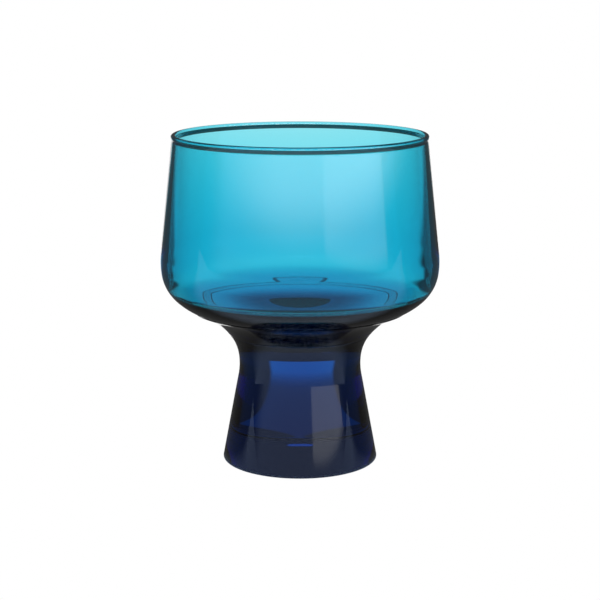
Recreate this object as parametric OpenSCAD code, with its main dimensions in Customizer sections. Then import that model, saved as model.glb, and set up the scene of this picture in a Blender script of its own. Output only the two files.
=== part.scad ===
// Low martini glass: a blown bowl fused to a solid pressed foot.
// The axis of turning is +Z and the foot stands on z = 0.

/* [Bowl] */
// Height of the glass from the table to the rim
total_h = 106.8; // [102:0.2:112]
// Outside diameter of the bowl at its widest, the belly
belly_d = 90; // [87:0.5:90]
// Height of the belly above the table
belly_h = 65.8; // [65.8:0.2:68]
// Lean of the wall from upright, in degrees
wall_lean = 6.1; // [5:0.1:7]
// Wall thickness just under the rim
rim_wall = 1.2; // [1:0.05:1.4]
// Wall thickness at the belly
belly_wall = 2.2; // [2:0.05:2.6]
// Diameter of the bead melted round the rim
bead_d = 1.7; // [1.5:0.05:2]

/* [Inside of the bowl] */
// Height of the middle of the inner floor above the table
floor_h = 49.8; // [48.8:0.2:51]
// Radius of the arc inside the belly
inside_r = 23; // [21:0.5:25]
// Height of the centre of the arc inside the belly
inside_h = 65.3; // [64.8:0.1:66]
// Radius of the inner corner between wall and floor
corner_r = 5; // [4:0.25:6.5]

/* [Waist] */
// Diameter of the waist, the narrowest place
waist_d = 39.6; // [39.4:0.2:41]
// Height of the waist above the table
waist_h = 32; // [31:0.2:32]
// Height of the fused joint between bowl and foot
joint_h = 42.2; // [41:0.2:43]

/* [Foot] */
// Flare of the foot's side from upright, in degrees
foot_flare = 10.6; // [9:0.1:12]
// Rounding of the foot's bottom edge
edge_r = 0.7; // [0.4:0.1:1]
// Width of the ring that the foot stands on
ring_w = 1.8; // [1.2:0.1:2.6]
// Depth of the hollow pressed into the underside
hollow_depth = 1.2; // [0.8:0.1:2]
// Diameter of the flat middle of the hollow, inside its cone
hollow_flat_d = 22; // [16:1:30]

/* [Hidden] */
$fn = 96;
// Straight steps along each arc of an outline
arc_steps = 10;
// The three rounded arcs that turn the belly under, from the wall down
belly_r = [26.8, 13.4, 22];
// Angles at which the first two of them end, below level
belly_end = [7.6, 48];
// The three hollow arcs of the waist, from the foot's side up
waist_r = [21.2, 14.9, 24.8];
// Angles at which the first two of them end, above level
waist_end = [7.4, 38.6];
// Angle at which the arc inside the belly ends, below level
inside_end = 16.6;
glass_colour = [0.25, 0.68, 0.8, 0.45];

function polar(angle) = [cos(angle), sin(angle)];

function arc(centre, r, from, to) =
    [for (i = [0:arc_steps]) centre + r * polar(from + (to - from) * i / arc_steps)];

// Centre of the arc of radius r2 that runs on smoothly from one of radius r1
function next_centre(centre, r1, r2, angle) = centre + (r1 - r2) * polar(angle);

// Angle of the normal of the line that touches circle a and then circle b on opposite
// sides; side is 1 or -1 and a radius of 0 makes b a point
function touch_angle(a, ra, b, rb, side) =
    atan2(b[1] - a[1], b[0] - a[0]) + side * acos((ra + rb) / norm(b - a));

// Outer outline: belly arcs are centred inside the glass, waist arcs outside it
belly_c1 = [belly_d / 2 - belly_r[0], belly_h];
belly_c2 = next_centre(belly_c1, belly_r[0], belly_r[1], -belly_end[0]);
belly_c3 = next_centre(belly_c2, belly_r[1], belly_r[2], -belly_end[1]);
waist_c1 = [waist_d / 2 + waist_r[0], waist_h];
waist_c2 = next_centre(waist_c1, waist_r[0], waist_r[1], 180 - waist_end[0]);
waist_c3 = next_centre(waist_c2, waist_r[1], waist_r[2], 180 - waist_end[1]);
slope_angle = touch_angle(belly_c3, belly_r[2], waist_c3, waist_r[2], -1);

// Wall: a straight line that leans in from the belly to the middle of the rim's bead
bead_h = total_h - bead_d / 2;
wall_foot = belly_c1 + belly_r[0] * polar(wall_lean);
wall_top = [wall_foot[0] - (bead_h - wall_foot[1]) * tan(wall_lean), bead_h];
inner_top = wall_top - [rim_wall, 0];

// Foot: the bottom edge's rounding touches both the side and the table
side_top = waist_c1 - waist_r[0] * polar(foot_flare);
edge_x = (side_top * polar(foot_flare) - edge_r - edge_r * sin(foot_flare)) / cos(foot_flare);
edge_c = [edge_x, edge_r];

// Cavity: the wall's inside touches the belly's inner arc, which runs on into the corner arc
// and that into the dished floor; the floor's radius follows from its height in the middle
inside_c = [belly_d / 2 - belly_wall - inside_r, inside_h];
corner_c = next_centre(inside_c, inside_r, corner_r, -inside_end);
corner_h = corner_c[1] - floor_h;
floor_sum = pow(corner_c[0], 2) + pow(corner_h, 2) - pow(corner_r, 2);
floor_r = floor_sum / (2 * (corner_h - corner_r));
floor_c = [0, floor_h + floor_r];
inner_lean = touch_angle(inside_c, inside_r, inner_top, 0, -1);
floor_end = atan2(corner_c[1] - floor_c[1], corner_c[0]);

// Hollow under the foot: a flat middle with a shallow cone down to the standing ring
hollow_rim = edge_x - ring_w;

module outer_outline()
    polygon(concat(
        [[0, 0]],
        arc(edge_c, edge_r, -90, foot_flare),
        arc(waist_c1, waist_r[0], 180 + foot_flare, 180 - waist_end[0]),
        arc(waist_c2, waist_r[1], 180 - waist_end[0], 180 - waist_end[1]),
        arc(waist_c3, waist_r[2], 180 - waist_end[1], 180 + slope_angle),
        arc(belly_c3, belly_r[2], slope_angle, -belly_end[1]),
        arc(belly_c2, belly_r[1], -belly_end[1], -belly_end[0]),
        arc(belly_c1, belly_r[0], -belly_end[0], wall_lean),
        [wall_top, [0, bead_h]]
    ));

module cavity_outline()
    polygon(concat(
        arc(floor_c, floor_r, -90, floor_end),
        arc(corner_c, corner_r, floor_end, -inside_end),
        arc(inside_c, inside_r, -inside_end, inner_lean),
        [inner_top, [inner_top[0], total_h], [0, total_h]]
    ));

module hollow_outline()
    polygon([
        [0, -hollow_depth],
        [hollow_rim, -hollow_depth],
        [hollow_rim, 0],
        [hollow_flat_d / 2, hollow_depth],
        [0, hollow_depth]
    ]);

// The bowl's share of the outline is above the joint, with the bead on its top
module bowl()
    color(glass_colour)
    rotate_extrude()
    union() {
        difference() {
            intersection() {
                outer_outline();
                translate([0, joint_h])
                    square([belly_d, total_h]);
            }
            cavity_outline();
        }
        translate([wall_top[0] - rim_wall / 2, bead_h])
            circle(d = bead_d);
    }

// The foot is solid glass below the joint
module foot()
    color(glass_colour)
    rotate_extrude()
    difference() {
        intersection() {
            outer_outline();
            square([belly_d, joint_h]);
        }
        hollow_outline();
    }

bowl();
foot();
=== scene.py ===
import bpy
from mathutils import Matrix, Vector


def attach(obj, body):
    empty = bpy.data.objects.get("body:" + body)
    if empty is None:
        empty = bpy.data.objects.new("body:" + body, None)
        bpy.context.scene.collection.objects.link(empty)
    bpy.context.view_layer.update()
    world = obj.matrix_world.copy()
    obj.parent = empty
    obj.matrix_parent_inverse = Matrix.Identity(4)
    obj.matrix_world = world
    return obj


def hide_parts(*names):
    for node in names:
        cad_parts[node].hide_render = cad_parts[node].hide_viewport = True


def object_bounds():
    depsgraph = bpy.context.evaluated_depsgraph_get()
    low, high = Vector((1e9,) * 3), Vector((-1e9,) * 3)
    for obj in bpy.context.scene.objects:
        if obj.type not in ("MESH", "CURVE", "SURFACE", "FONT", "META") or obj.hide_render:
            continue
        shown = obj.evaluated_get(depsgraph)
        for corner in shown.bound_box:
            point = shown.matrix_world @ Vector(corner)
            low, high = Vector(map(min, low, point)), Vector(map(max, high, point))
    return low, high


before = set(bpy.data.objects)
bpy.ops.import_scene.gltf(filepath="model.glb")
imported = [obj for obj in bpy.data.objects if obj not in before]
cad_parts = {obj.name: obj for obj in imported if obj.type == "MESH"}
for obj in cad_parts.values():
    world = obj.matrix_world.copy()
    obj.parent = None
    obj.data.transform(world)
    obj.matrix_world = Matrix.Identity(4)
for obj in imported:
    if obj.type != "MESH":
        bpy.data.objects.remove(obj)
CAD_BOX = [list(corner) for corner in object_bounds()]

import math

import bpy
from mathutils import Vector

MM = 0.001
WHITE = (1, 1, 1, 1)


# ---------------------------------------------------------------- sizes of the glass, millimetres and degrees

low, high = (Vector(corner) / MM for corner in CAD_BOX)
TOTAL_H = high.z - low.z
BELLY_R = 45.0
BELLY_H = 65.8
WALL_LEAN = 6.1
RIM_WALL = 1.2
BELLY_WALL = 2.2
BEAD_R = 0.85
FLOOR_H = 49.8
# The arc inside the belly: the height of its centre, its radius, and where it ends, below level
INSIDE_H = 65.3
INSIDE_R = 23.0
INSIDE_END = 16.6
CORNER_R = 5.0
WAIST_R = 19.8
WAIST_H = 32.0
JOINT_H = 42.2
FOOT_FLARE = 10.6
EDGE_R = 0.7
RING_W = 1.8
HOLLOW_DEPTH = 1.2
HOLLOW_FLAT_R = 11.0
# Radii of the arcs that turn the belly under and hollow the waist, and where the first two end
BELLY_ARCS = (26.8, 13.4, 22.0)
BELLY_ENDS = (7.6, 48.0)
WAIST_ARCS = (21.2, 14.9, 24.8)
WAIST_ENDS = (7.4, 38.6)
# The pieces keep this gap at the fused joint, and the ring seen there is a shallow cut round it
JOINT_GAP = 0.01
SEAM_CUT = 0.12
# An outline's last point stays this far from the joint
SEAM_CLEAR = 0.1

# How far apart an outline's points are
ARC_STEP = 0.35
TINY_ARC_STEP = 0.08
CORNER_STEP = 0.15
FLOOR_STEP = 0.5
LINE_STEP = 1.0
SLOPE_STEP = 0.4
HOLLOW_STEP = 1.5
RING_STEP = 0.5
DISC_STEP = 2.5
CRISP = 0.05
SEGMENTS = 192


# ---------------------------------------------------------------- outline of the glass, millimetres

def polar(angle):
    return Vector((math.cos(math.radians(angle)), math.sin(math.radians(angle))))


def arc(centre, radius, start, end, step=ARC_STEP):
    """Points along a round stretch, about one every step millimetres."""
    length = abs(math.radians(end - start)) * radius
    count = max(4, math.ceil(length / step))
    return [centre + radius * polar(start + (end - start) * i / count) for i in range(count + 1)]


def line(start, end, step=LINE_STEP):
    """Points between two ends, the ends left out."""
    count = max(1, math.ceil((end - start).length / step))
    return [start.lerp(end, i / count) for i in range(1, count)]


def crisp(before, corner, after):
    """A corner with a point close by on each side, so that smooth shading stays off the flats."""
    return [
        corner + CRISP * (before - corner).normalized(),
        corner,
        corner + CRISP * (after - corner).normalized(),
    ]


def run_on(centre, r1, r2, angle):
    """Centre of an arc of radius r2 that carries on smoothly from one of radius r1."""
    return centre + (r1 - r2) * polar(angle)


def touch_angle(a, ra, b, rb):
    """Angle of the normal of the line that touches circle a and, on its other side, circle b."""
    gap = b - a
    return math.degrees(math.atan2(gap.y, gap.x) - math.acos((ra + rb) / gap.length))


def outer_outline():
    """The outside from the standing ring up to the belly's wall, and the bottom edge's centre."""
    b1 = Vector((BELLY_R - BELLY_ARCS[0], BELLY_H))
    b2 = run_on(b1, BELLY_ARCS[0], BELLY_ARCS[1], -BELLY_ENDS[0])
    b3 = run_on(b2, BELLY_ARCS[1], BELLY_ARCS[2], -BELLY_ENDS[1])
    w1 = Vector((WAIST_R + WAIST_ARCS[0], WAIST_H))
    w2 = run_on(w1, WAIST_ARCS[0], WAIST_ARCS[1], 180 - WAIST_ENDS[0])
    w3 = run_on(w2, WAIST_ARCS[1], WAIST_ARCS[2], 180 - WAIST_ENDS[1])
    slope = touch_angle(b3, BELLY_ARCS[2], w3, WAIST_ARCS[2])
    side_top = w1 - WAIST_ARCS[0] * polar(FOOT_FLARE)
    normal = polar(FOOT_FLARE)
    edge_x = (side_top.dot(normal) - EDGE_R - EDGE_R * normal.y) / normal.x
    edge_c = Vector((edge_x, EDGE_R))
    edge = arc(edge_c, EDGE_R, -90, FOOT_FLARE, TINY_ARC_STEP)
    foot = line(edge[-1], side_top)
    foot += arc(w1, WAIST_ARCS[0], 180 + FOOT_FLARE, 180 - WAIST_ENDS[0])
    foot += arc(w2, WAIST_ARCS[1], 180 - WAIST_ENDS[0], 180 - WAIST_ENDS[1])[1:]
    upper = arc(w3, WAIST_ARCS[2], 180 - WAIST_ENDS[1], 180 + slope)[1:]
    under = arc(b3, BELLY_ARCS[2], slope, -BELLY_ENDS[1])
    upper += line(upper[-1], under[0], SLOPE_STEP) + under
    upper += arc(b2, BELLY_ARCS[1], -BELLY_ENDS[1], -BELLY_ENDS[0])[1:]
    upper += arc(b1, BELLY_ARCS[0], -BELLY_ENDS[0], WALL_LEAN)[1:]
    return edge + foot + upper, edge_c


def bowl_outline():
    """Round the bowl from the axis at the joint, up the outside, over the bead, down to the floor,
    and how many bands of it lie in the joint."""
    outside, _ = outer_outline()
    seam = JOINT_H + JOINT_GAP / 2
    outer = [p for p in outside if p.y > seam + SEAM_CLEAR]
    below = [p for p in outside if p.y <= seam + SEAM_CLEAR][-1]
    joint_r = below.x + (outer[0].x - below.x) * (seam - below.y) / (outer[0].y - below.y)
    bead_h = TOTAL_H - BEAD_R
    lean = math.tan(math.radians(WALL_LEAN))
    wall_top = Vector((outer[-1].x - (bead_h - outer[-1].y) * lean, bead_h))
    bead_c = wall_top - Vector((RIM_WALL / 2, 0))
    inner_top = wall_top - Vector((RIM_WALL, 0))
    meet = math.degrees(math.asin(RIM_WALL / 2 / BEAD_R))
    bead = arc(bead_c, BEAD_R, -90 + meet, 270 - meet, TINY_ARC_STEP)
    inside_c = Vector((BELLY_R - BELLY_WALL - INSIDE_R, INSIDE_H))
    corner_c = run_on(inside_c, INSIDE_R, CORNER_R, -INSIDE_END)
    depth = corner_c.y - FLOOR_H
    floor_r = (corner_c.x ** 2 + depth ** 2 - CORNER_R ** 2) / (2 * (depth - CORNER_R))
    floor_c = Vector((0, FLOOR_H + floor_r))
    lean_in = touch_angle(inside_c, INSIDE_R, inner_top, 0)
    floor_end = math.degrees(math.atan2(corner_c.y - floor_c.y, corner_c.x))
    inside = arc(inside_c, INSIDE_R, lean_in, -INSIDE_END)
    inside += arc(corner_c, CORNER_R, -INSIDE_END, floor_end, CORNER_STEP)[1:]
    inside += arc(floor_c, floor_r, floor_end, -90, FLOOR_STEP)[1:]
    joint_r -= SEAM_CUT
    middle, corner = Vector((0, seam)), Vector((joint_r, seam))
    disc = line(middle, corner, DISC_STEP)
    points = [middle] + disc + crisp(middle, corner, outer[0]) + outer
    points += line(outer[-1], bead[0]) + bead + line(bead[-1], inside[0]) + inside
    return points, len(disc) + 2


def foot_outline():
    """Round the foot from the hollow under it, out over the ring, up the side, in along the joint,
    and how many bands of it lie in the joint."""
    outside, edge_c = outer_outline()
    seam = JOINT_H - JOINT_GAP / 2
    outer = [p for p in outside if p.y < seam - SEAM_CLEAR]
    above = [p for p in outside if p.y >= seam - SEAM_CLEAR][0]
    joint_r = outer[-1].x + (above.x - outer[-1].x) * (seam - outer[-1].y) / (above.y - outer[-1].y)
    joint_r -= SEAM_CUT
    middle = Vector((0, HOLLOW_DEPTH))
    flat_end = Vector((HOLLOW_FLAT_R, HOLLOW_DEPTH))
    ring = Vector((edge_c.x - RING_W, 0))
    hollow = [middle] + line(middle, flat_end, HOLLOW_STEP) + crisp(middle, flat_end, ring)
    hollow += line(flat_end, ring, HOLLOW_STEP) + crisp(flat_end, ring, outer[0])
    corner, top = Vector((joint_r, seam)), Vector((0, seam))
    disc = line(corner, top, DISC_STEP)
    points = hollow + line(hollow[-1], outer[0], RING_STEP) + outer
    points += crisp(outer[-1], corner, top) + disc + [top]
    return points, len(disc) + 2


# ---------------------------------------------------------------- meshes

def add_object(name, data):
    added = bpy.data.objects.new(name, data)
    bpy.context.scene.collection.objects.link(added)
    return added


def lathe(name, points, faces_of_joint, materials):
    """Turns an outline from axis to axis into one closed mesh. faces_of_joint says which bands,
    counted along the outline, lie in the joint and take the second material."""
    points = [Vector((max(p.x, 0.0), p.y)) * MM for p in points]
    turn = [2 * math.pi * k / SEGMENTS for k in range(SEGMENTS)]
    verts = [(0, 0, points[0].y)]
    for p in points[1:-1]:
        verts += [(p.x * math.cos(a), p.x * math.sin(a), p.y) for a in turn]
    verts.append((0, 0, points[-1].y))
    last = len(verts) - 1
    rings = len(points) - 2
    faces, slots = [], []
    for k in range(SEGMENTS):
        n = (k + 1) % SEGMENTS
        faces.append((0, 1 + n, 1 + k))
        slots.append(int(0 in faces_of_joint))
        for r in range(rings - 1):
            a, b = 1 + r * SEGMENTS, 1 + (r + 1) * SEGMENTS
            faces.append((a + k, a + n, b + n, b + k))
            slots.append(int(r + 1 in faces_of_joint))
        faces.append((last, 1 + (rings - 1) * SEGMENTS + k, 1 + (rings - 1) * SEGMENTS + n))
        slots.append(int(rings in faces_of_joint))
    mesh = bpy.data.meshes.new(name)
    mesh.from_pydata(verts, [], faces)
    mesh.polygons.foreach_set("material_index", slots)
    mesh.polygons.foreach_set("use_smooth", [True] * len(faces))
    for material in materials:
        mesh.materials.append(material)
    mesh.update()
    return add_object(name, mesh)


# ---------------------------------------------------------------- node helpers

class Graph:
    """Small helper that adds nodes to a material or world and links them."""

    def __init__(self, owner):
        owner.use_nodes = True
        self.tree = owner.node_tree
        self.tree.nodes.clear()

    def add(self, kind, **settings):
        node = self.tree.nodes.new(kind)
        for key, value in settings.items():
            setattr(node, key, value)
        return node

    def link(self, source, target):
        if isinstance(source, (int, float, tuple)):
            target.default_value = source
        else:
            self.tree.links.new(source, target)

    def math(self, operation, a, b=0.0):
        node = self.add("ShaderNodeMath", operation=operation)
        self.link(a, node.inputs[0])
        self.link(b, node.inputs[1])
        return node.outputs[0]

    def ramp(self, value, start, end, low=0.0, high=1.0, smooth=True):
        node = self.add("ShaderNodeMapRange")
        node.interpolation_type = "SMOOTHSTEP" if smooth else "LINEAR"
        self.link(value, node.inputs["Value"])
        self.link(start, node.inputs["From Min"])
        self.link(end, node.inputs["From Max"])
        self.link(low, node.inputs["To Min"])
        self.link(high, node.inputs["To Max"])
        return node.outputs[0]

    def noise(self, place, scale, detail):
        node = self.add("ShaderNodeTexNoise")
        node.inputs["Scale"].default_value = scale
        node.inputs["Detail"].default_value = detail
        self.link(place, node.inputs["Vector"])
        return node.outputs[0]

    def part(self, vector, axis):
        node = self.add("ShaderNodeSeparateXYZ")
        self.link(vector, node.inputs[0])
        return node.outputs[axis]

    def seen_white(self, colour):
        """White where the camera sees it directly, colour for light that reaches the glass."""
        seen = self.add("ShaderNodeLightPath").outputs["Is Camera Ray"]
        return self.mix(seen, colour, WHITE)

    def mix(self, factor, a, b):
        node = self.add("ShaderNodeMix", data_type="RGBA")
        self.link(factor, node.inputs["Factor"])
        self.link(a, node.inputs[6])
        self.link(b, node.inputs[7])
        return node.outputs[2]


# ---------------------------------------------------------------- materials

BOWL_ABSORB = (1.05, 0.165, 0.078)
FOOT_ABSORB = (0.30, 0.073, 0.0305)
# Keeps the absorption's colour just off black in the channel that is taken most
DENSITY_SPARE = 1.02
# Waves, metres high, are drawn out along the height
WAVE_SCALE = (70.0, 70.0, 9.0)
WAVE_DETAIL = 0.5
WAVE_HEIGHT = 0.00003
# Smudges and scuffs: noise scale and detail, the noise where they set in and are full, and the
# roughness they reach
SMUDGE_NOISE = (45.0, 4.0)
SMUDGE_FROM, SMUDGE_TO = 0.5, 0.8
SMUDGE = 0.012
SCUFF_NOISE = (900.0, 3.0)
SCUFF_FROM, SCUFF_TO = 0.4, 0.65
WORN = 0.42
# Wear ends this high above the table, metres, is full below WORN_FULL of it, and never less than
# WORN_LEAST of the most
WORN_H = 0.00012
WORN_FULL = 0.4
WORN_LEAST = 0.4


def surface_detail(graph, shader):
    """Slight drawn-out waves left by the mould, faint smudges, and wear on the standing ring."""
    place = graph.add("ShaderNodeTexCoord").outputs["Object"]
    stretch = graph.add("ShaderNodeMapping")
    stretch.inputs["Scale"].default_value = WAVE_SCALE
    graph.link(place, stretch.inputs["Vector"])
    bump = graph.add("ShaderNodeBump")
    bump.inputs["Strength"].default_value = 1.0
    bump.inputs["Distance"].default_value = WAVE_HEIGHT
    graph.link(graph.noise(stretch.outputs[0], 1.0, WAVE_DETAIL), bump.inputs["Height"])
    graph.link(bump.outputs[0], shader.inputs["Normal"])
    cloud = graph.noise(place, *SMUDGE_NOISE)
    smudge = graph.ramp(cloud, SMUDGE_FROM, SMUDGE_TO, 0.0, SMUDGE)
    grain = graph.noise(place, *SCUFF_NOISE)
    scuff = graph.ramp(grain, SCUFF_FROM, SCUFF_TO, WORN * WORN_LEAST, WORN)
    height = graph.part(place, "Z")
    ring = graph.ramp(height, WORN_H, WORN_H * WORN_FULL)
    worn = graph.math("MULTIPLY", ring, scuff)
    graph.link(graph.math("ADD", smudge, worn), shader.inputs["Roughness"])


def glass(name, absorb, ior=1.5, detail=False):
    """Clear coloured glass. absorb is what it takes from red, green and blue light per millimetre.
    At the fused joint an ior of 1 lets light pass straight across the gap."""
    material = bpy.data.materials.new(name)
    graph = Graph(material)
    out = graph.add("ShaderNodeOutputMaterial")
    shader = graph.add("ShaderNodeBsdfPrincipled")
    shader.inputs["Base Color"].default_value = WHITE
    shader.inputs["Transmission Weight"].default_value = 1.0
    shader.inputs["Roughness"].default_value = 0.0
    shader.inputs["IOR"].default_value = ior
    graph.link(shader.outputs[0], out.inputs["Surface"])
    if detail:
        surface_detail(graph, shader)
    density = max(absorb) * DENSITY_SPARE
    volume = graph.add("ShaderNodeVolumeAbsorption")
    volume.inputs["Color"].default_value = (*(1 - a / density for a in absorb), 1)
    volume.inputs["Density"].default_value = density / MM
    graph.link(volume.outputs[0], out.inputs["Volume"])
    return material


bowl_glass = glass("bowl_glass", BOWL_ABSORB, detail=True)
foot_glass = glass("foot_glass", FOOT_ABSORB, detail=True)
bowl_joint = glass("bowl_joint", BOWL_ABSORB, ior=1.0)
foot_joint = glass("foot_joint", FOOT_ABSORB, ior=1.0)

points, joint_bands = bowl_outline()
bowl = lathe("bowl_glass", points, range(joint_bands), [bowl_glass, bowl_joint])
points, joint_bands = foot_outline()
bands = len(points) - 1
foot = lathe("foot_glass", points, range(bands - joint_bands, bands), [foot_glass, foot_joint])
for piece, node in ((bowl, "bowl"), (foot, "foot")):
    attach(piece, "root")
    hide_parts(node)


# ---------------------------------------------------------------- studio

# The camera sees a plain white table and backdrop. The glass refracts and reflects a darker room: a
# lit wedge behind it, dim sides, a bluish front, and a soft light overhead.

SIDE = (0.08, 0.08, 0.08, 1)
FRONT = (0.46, 0.56, 0.72, 1)
TOP = (0.5, 0.5, 0.5, 1)
# Where the room turns into its front and its top, as parts of a direction of length 1
FRONT_STARTS, FRONT_FULL = -0.1, -0.5
TOP_STARTS, TOP_FULL = 0.7, 0.95
# The lit wedge on the table: its sides and their softness in degrees, and its apex behind the axis
BACK_LEFT, BACK_RIGHT = -23, 19.5
BACK_SOFT = 2
BACK_APEX = 0.026
# The glass's own shade on the lit table, and the distances at which it ends
SHADE = (0.24, 0.26, 0.28, 1)
SHADE_IN, SHADE_OUT = 0.048, 0.114
FRONT_FLOOR_STARTS, FRONT_FLOOR_FULL = 0.01, -0.03
FLOOR_REACH = 3.0
FLOOR_LEVEL = -0.00005


def painted_light_wedge(graph, x, y):
    """1 in the lit wedge painted on the table behind the glass, 0 outside it."""
    azimuth = graph.math("ARCTAN2", x, graph.math("SUBTRACT", y, BACK_APEX))
    left = graph.ramp(azimuth, *(math.radians(BACK_LEFT + soft) for soft in (-BACK_SOFT, BACK_SOFT)))
    right = graph.ramp(azimuth, *(math.radians(BACK_RIGHT + soft) for soft in (BACK_SOFT, -BACK_SOFT)))
    return graph.math("MULTIPLY", left, right)


def studio_world():
    world = bpy.data.worlds.new("studio")
    bpy.context.scene.world = world
    graph = Graph(world)
    direction = graph.add("ShaderNodeTexCoord").outputs["Generated"]
    front = graph.ramp(graph.part(direction, "Y"), FRONT_STARTS, FRONT_FULL)
    above = graph.ramp(graph.part(direction, "Z"), TOP_STARTS, TOP_FULL)
    colour = graph.mix(above, graph.mix(front, SIDE, FRONT), TOP)
    back = graph.add("ShaderNodeBackground")
    graph.link(graph.seen_white(colour), back.inputs["Color"])
    out = graph.add("ShaderNodeOutputWorld")
    graph.link(back.outputs[0], out.inputs["Surface"])


def studio_floor():
    """The table, a glowing sheet. Only light that reaches the glass meets its painted shadow of the glass,
    painted lit wedge, painted dim sides and painted bluish front.
    """
    mesh = bpy.data.meshes.new("floor")
    turns = ((-1, -1), (1, -1), (1, 1), (-1, 1))
    corners = [(FLOOR_REACH * x, FLOOR_REACH * y, FLOOR_LEVEL) for x, y in turns]
    mesh.from_pydata(corners, [], [(0, 1, 2, 3)])
    floor = add_object("floor", mesh)
    material = bpy.data.materials.new("floor")
    graph = Graph(material)
    place = graph.add("ShaderNodeNewGeometry").outputs["Position"]
    x, y = graph.part(place, "X"), graph.part(place, "Y")
    squares = graph.math("ADD", graph.math("MULTIPLY", x, x), graph.math("MULTIPLY", y, y))
    # The glass's shadow is painted on the table, darker nearer the axis
    lit = graph.ramp(graph.math("SQRT", squares), SHADE_IN, SHADE_OUT)
    colour = graph.mix(painted_light_wedge(graph, x, y), SIDE, graph.mix(lit, SHADE, WHITE))
    colour = graph.mix(graph.ramp(y, FRONT_FLOOR_STARTS, FRONT_FLOOR_FULL), colour, FRONT)
    glow = graph.add("ShaderNodeEmission")
    graph.link(graph.seen_white(colour), glow.inputs["Color"])
    out = graph.add("ShaderNodeOutputMaterial")
    graph.link(glow.outputs[0], out.inputs["Surface"])
    mesh.materials.append(material)


SCREEN_STEPS = 48


def screen(name, radius, azimuths, full, base, drop, top, fade, strength):
    """A curved glowing sheet round the glass, seen only by reflection, which lets other light through.
    azimuths are its two ends in degrees from the camera's side towards +X, and full is where its glow
    is at its most between them. Its lower edge falls from base by drop on the way, and the glow sets
    in over fade above that edge."""
    start, end = (math.radians(angle) for angle in azimuths)
    full_start, full_end = (math.radians(angle) for angle in full)
    verts = []
    for i in range(SCREEN_STEPS + 1):
        a = start + (end - start) * i / SCREEN_STEPS
        verts += [(radius * math.sin(a), -radius * math.cos(a), z) for z in (base - drop, top)]
    faces = [(2 * i, 2 * i + 2, 2 * i + 3, 2 * i + 1) for i in range(SCREEN_STEPS)]
    mesh = bpy.data.meshes.new(name)
    mesh.from_pydata(verts, [], faces)
    panel = add_object(name, mesh)
    material = bpy.data.materials.new(name)
    graph = Graph(material)
    place = graph.add("ShaderNodeNewGeometry").outputs["Position"]
    towards_camera = graph.math("MULTIPLY", graph.part(place, "Y"), -1.0)
    azimuth = graph.math("ARCTAN2", graph.part(place, "X"), towards_camera)
    left = graph.ramp(azimuth, start, full_start)
    right = graph.ramp(azimuth, end, full_end)
    edge = graph.ramp(azimuth, start, end, base, base - drop, False)
    up = graph.ramp(graph.math("SUBTRACT", graph.part(place, "Z"), edge), 0.0, fade)
    sides = graph.math("MULTIPLY", left, right)
    glow = graph.add("ShaderNodeEmission")
    graph.link(graph.math("MULTIPLY", sides, graph.math("MULTIPLY", up, strength)), glow.inputs["Strength"])
    both = graph.add("ShaderNodeAddShader")
    graph.link(glow.outputs[0], both.inputs[0])
    graph.link(graph.add("ShaderNodeBsdfTransparent").outputs[0], both.inputs[1])
    out = graph.add("ShaderNodeOutputMaterial")
    graph.link(both.outputs[0], out.inputs["Surface"])
    mesh.materials.append(material)
    panel.visible_camera = False
    panel.visible_transmission = False


studio_world()
studio_floor()
screen("haze_panel", radius=0.55, azimuths=(-88, 112), full=(-10, 55), base=0.088, drop=0.0,
       top=0.45, fade=0.05, strength=3.0)
screen("key_softbox", radius=3.0, azimuths=(18, 76), full=(22, 73), base=0.16, drop=0.15,
       top=1.2, fade=0.05, strength=1.0)


# ---------------------------------------------------------------- camera and light paths

LENS, SENSOR = 96.15, 36
CAMERA_AT = (0, -0.5099, 0.1592)
CAMERA_DOWN = 11.8
BOUNCES, GLOSSY_BOUNCES = 32, 16

camera_data = bpy.data.cameras.new("camera")
camera = add_object("camera", camera_data)
bpy.context.scene.camera = camera
camera_data.lens = LENS
camera_data.sensor_width = SENSOR
camera_data.clip_start = 0.01
camera.location = CAMERA_AT
camera.rotation_euler = (math.radians(90 - CAMERA_DOWN), 0, 0)

scene = bpy.context.scene
scene.view_settings.view_transform = "Standard"
scene.cycles.max_bounces = BOUNCES
scene.cycles.transmission_bounces = BOUNCES
scene.cycles.glossy_bounces = GLOSSY_BOUNCES
scene.cycles.transparent_max_bounces = BOUNCES
scene.cycles.caustics_reflective = False
scene.cycles.caustics_refractive = False
